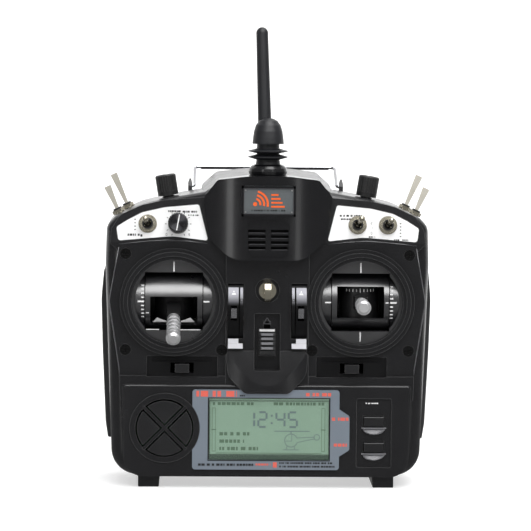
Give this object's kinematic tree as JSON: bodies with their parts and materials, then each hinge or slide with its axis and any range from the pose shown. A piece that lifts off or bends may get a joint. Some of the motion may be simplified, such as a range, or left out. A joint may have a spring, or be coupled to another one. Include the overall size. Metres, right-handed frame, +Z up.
{
  "type": "radio transmitter controller",
  "caption": "Hand-held radio control transmitter: two-stick gimbals, trims, toggle switches, knobs, LCD, key pad, folding antenna and carrying bail.",
  "frame": {"origin": "on the ground under the middle of the overall width and depth, at the level of the feet", "axes": "+Z up along the antenna, +Y from the control face towards the back, +X to the operator's right"},
  "size_m": [0.1892, 0.1222, 0.2611],
  "materials": {
    "case_black": "fine moulded grain, satin",
    "console_gloss": "polished black plastic",
    "badge_grey": "satin grey plate",
    "panel_white": "printed white plate",
    "grip_rubber": "ribbed soft rubber",
    "inner_black": "plain moulded",
    "drum_black": "satin gloss moulded drum",
    "stick_aluminium": "turned",
    "screw_black": "black oxide",
    "nickel": "bright nickel plate",
    "chrome": "polished",
    "pin_steel": "drawn steel",
    "antenna_black": "satin elastomer sleeve",
    "knob_black": "fluted satin",
    "key_black": "satin keys",
    "trim_grey": "ribbed dark grey",
    "bezel_grey": "printed blue-grey frame",
    "lens_clear": "clear acrylic lens",
    "board_green": "solder mask",
    "cell_wrap": "shrink sleeve"
  },
  "bodies": {
    "case": {"front_shell": "case_black", "rear_shell": "case_black", "centre_console": "console_gloss", "badge_plate": "badge_grey", "speaker_driver": "inner_black", "switch_panels": "panel_white", "side_grips": "grip_rubber", "feet": "case_black", "case_screws": "screw_black", "gimbal_bezels": "case_black", "gimbal_frames": "inner_black", "gimbal_screws": "screw_black", "potentiometers": "inner_black", "trim_shrouds": "case_black", "power_switch_body": "inner_black", "lcd_bezel": "bezel_grey", "lcd_window": "lens_clear", "lcd_module": "inner_black", "main_board": "board_green", "toggle_housings": "inner_black", "toggle_nuts": "nickel", "antenna_base": "console_gloss", "handle_brackets": "case_black", "strap_hook": "nickel", "rear_jacks": "inner_black", "battery_cells": "cell_wrap", "battery_tray": "inner_black", "rf_module": "case_black"},
    "drum_left": {"gimbal_drum_left": "drum_black"},
    "stick_left": {"stick_carrier_left": "inner_black", "stick_left": "stick_aluminium"},
    "drum_right": {"gimbal_drum_right": "drum_black"},
    "stick_right": {"stick_carrier_right": "inner_black", "stick_right": "stick_aluminium"},
    "trim_vertical_left": {"trim_vertical_left": "trim_grey"},
    "trim_horizontal_left": {"trim_horizontal_left": "key_black"},
    "trim_vertical_right": {"trim_vertical_right": "trim_grey"},
    "trim_horizontal_right": {"trim_horizontal_right": "key_black"},
    "power_slider": {"power_slider": "key_black"},
    "pad_button_up": {"pad_button_up": "key_black"},
    "pad_button_right": {"pad_button_right": "key_black"},
    "pad_button_down": {"pad_button_down": "key_black"},
    "pad_button_left": {"pad_button_left": "key_black"},
    "menu_button": {"menu_button": "key_black"},
    "exit_button": {"exit_button": "key_black"},
    "toggle_face_left": {"toggle_face_left": "nickel"},
    "toggle_face_inner": {"toggle_face_inner": "nickel"},
    "toggle_face_outer": {"toggle_face_outer": "nickel"},
    "toggle_inner_left": {"toggle_inner_left": "nickel"},
    "toggle_outer_left": {"toggle_outer_left": "nickel"},
    "toggle_inner_right": {"toggle_inner_right": "nickel"},
    "toggle_outer_right": {"toggle_outer_right": "nickel"},
    "knob_face": {"knob_face": "knob_black"},
    "knob_top_left": {"knob_top_left": "knob_black"},
    "knob_top_right": {"knob_top_right": "knob_black"},
    "antenna_swivel": {"antenna_swivel": "antenna_black", "antenna_hinge_pin": "pin_steel"},
    "antenna_rod": {"antenna_rod": "antenna_black"},
    "handle_bar": {"handle_bar": "chrome"},
    "battery_door": {"battery_door": "case_black"}
  },
  "joints": [
    {"name": "left_stick_vertical", "type": "hinge", "parent": "case", "child": "drum_left", "pos_m": [-0.0529, -0.0124, 0.1058], "axis": [-1, 0, 0], "range_deg": [-2.4, 47.6]},
    {"name": "left_stick_horizontal", "type": "hinge", "parent": "drum_left", "child": "stick_left", "pos_m": [-0.0529, -0.0124, 0.1058], "axis": [0, -0.3843, 0.9232], "range_deg": [-25, 25], "stiffness_Nm_per_rad": 0.1},
    {"name": "right_stick_vertical", "type": "hinge", "parent": "case", "child": "drum_right", "pos_m": [0.0529, -0.0124, 0.1058], "axis": [-1, 0, 0], "range_deg": [-25, 25], "stiffness_Nm_per_rad": 0.1},
    {"name": "right_stick_horizontal", "type": "hinge", "parent": "drum_right", "child": "stick_right", "pos_m": [0.0529, -0.0124, 0.1058], "axis": [0, 0, 1], "range_deg": [-25, 25], "stiffness_Nm_per_rad": 0.1},
    {"name": "trim_vertical_left_slide", "type": "slide", "parent": "case", "child": "trim_vertical_left", "axis": [0, 0, 1], "range_m": [-0.0013, 0.0013], "stiffness_N_per_m": 200},
    {"name": "trim_horizontal_left_slide", "type": "slide", "parent": "case", "child": "trim_horizontal_left", "axis": [1, 0, 0], "range_m": [-0.0022, 0.0022], "stiffness_N_per_m": 200},
    {"name": "trim_vertical_right_slide", "type": "slide", "parent": "case", "child": "trim_vertical_right", "axis": [0, 0, 1], "range_m": [-0.0013, 0.0013], "stiffness_N_per_m": 200},
    {"name": "trim_horizontal_right_slide", "type": "slide", "parent": "case", "child": "trim_horizontal_right", "axis": [1, 0, 0], "range_m": [-0.0022, 0.0022], "stiffness_N_per_m": 200},
    {"name": "power_slide", "type": "slide", "parent": "case", "child": "power_slider", "axis": [0, 0, 1], "range_m": [0, 0.007]},
    {"name": "pad_up_press", "type": "slide", "parent": "case", "child": "pad_button_up", "axis": [0, 1, 0], "range_m": [0, 0.0008], "stiffness_N_per_m": 600},
    {"name": "pad_right_press", "type": "slide", "parent": "case", "child": "pad_button_right", "axis": [0, 1, 0], "range_m": [0, 0.0008], "stiffness_N_per_m": 600},
    {"name": "pad_down_press", "type": "slide", "parent": "case", "child": "pad_button_down", "axis": [0, 1, 0], "range_m": [0, 0.0008], "stiffness_N_per_m": 600},
    {"name": "pad_left_press", "type": "slide", "parent": "case", "child": "pad_button_left", "axis": [0, 1, 0], "range_m": [0, 0.0008], "stiffness_N_per_m": 600},
    {"name": "menu_press", "type": "slide", "parent": "case", "child": "menu_button", "axis": [0, 1, 0], "range_m": [0, 0.0008], "stiffness_N_per_m": 600},
    {"name": "exit_press", "type": "slide", "parent": "case", "child": "exit_button", "axis": [0, 1, 0], "range_m": [0, 0.0008], "stiffness_N_per_m": 600},
    {"name": "toggle_face_left_flip", "type": "hinge", "parent": "case", "child": "toggle_face_left", "pos_m": [-0.0679, -0.03035, 0.15005], "axis": [0.8192, 0.0897, 0.5665], "range_deg": [0, 25]},
    {"name": "toggle_face_inner_flip", "type": "hinge", "parent": "case", "child": "toggle_face_inner", "pos_m": [0.0507, -0.03035, 0.15005], "axis": [0.8192, -0.0897, -0.5665], "range_deg": [0, 25]},
    {"name": "toggle_face_outer_flip", "type": "hinge", "parent": "case", "child": "toggle_face_outer", "pos_m": [0.0679, -0.03035, 0.15005], "axis": [0.8192, -0.0897, -0.5665], "range_deg": [0, 25]},
    {"name": "toggle_inner_left_flip", "type": "hinge", "parent": "case", "child": "toggle_inner_left", "pos_m": [-0.08011, 0.0086, 0.15794], "axis": [0.9063, 0, 0.4226], "range_deg": [0, 25]},
    {"name": "toggle_outer_left_flip", "type": "hinge", "parent": "case", "child": "toggle_outer_left", "pos_m": [-0.08521, -0.0034, 0.15557], "axis": [0.9063, 0, 0.4226], "range_deg": [0, 25]},
    {"name": "toggle_inner_right_flip", "type": "hinge", "parent": "case", "child": "toggle_inner_right", "pos_m": [0.08011, 0.0086, 0.15794], "axis": [0.9063, 0, -0.4226], "range_deg": [0, 25]},
    {"name": "toggle_outer_right_flip", "type": "hinge", "parent": "case", "child": "toggle_outer_right", "pos_m": [0.08521, -0.0034, 0.15557], "axis": [0.9063, 0, -0.4226], "range_deg": [0, 25]},
    {"name": "knob_face_turn", "type": "hinge", "parent": "case", "child": "knob_face", "pos_m": [-0.0507, -0.02877, 0.1498], "axis": [0, -0.9877, 0.1564], "range_deg": [-150, 150]},
    {"name": "knob_top_left_turn", "type": "hinge", "parent": "case", "child": "knob_top_left", "pos_m": [-0.0565, -0.0059, 0.16417], "axis": [-0.1564, 0, 0.9877], "range_deg": [-150, 150]},
    {"name": "knob_top_right_turn", "type": "hinge", "parent": "case", "child": "knob_top_right", "pos_m": [0.0565, -0.0059, 0.16417], "axis": [0.1564, 0, 0.9877], "range_deg": [-150, 150]},
    {"name": "antenna_turn", "type": "hinge", "parent": "case", "child": "antenna_swivel", "pos_m": [0, -0.0164, 0.19], "axis": [0, 0, 1], "range_deg": [-112, 68]},
    {"name": "antenna_fold", "type": "hinge", "parent": "antenna_swivel", "child": "antenna_rod", "pos_m": [-0.00172, -0.01213, 0.2003], "axis": [-0.9272, -0.3746, 0], "range_deg": [-5.3, 84.7]},
    {"name": "handle_fold", "type": "hinge", "parent": "case", "child": "handle_bar", "pos_m": [0, 0.0356, 0.1682], "axis": [1, 0, 0], "range_deg": [-55, 68]},
    {"name": "battery_door_slide", "type": "slide", "parent": "case", "child": "battery_door", "axis": [0, 0, -1], "range_m": [0, 0.02]}
  ]
}
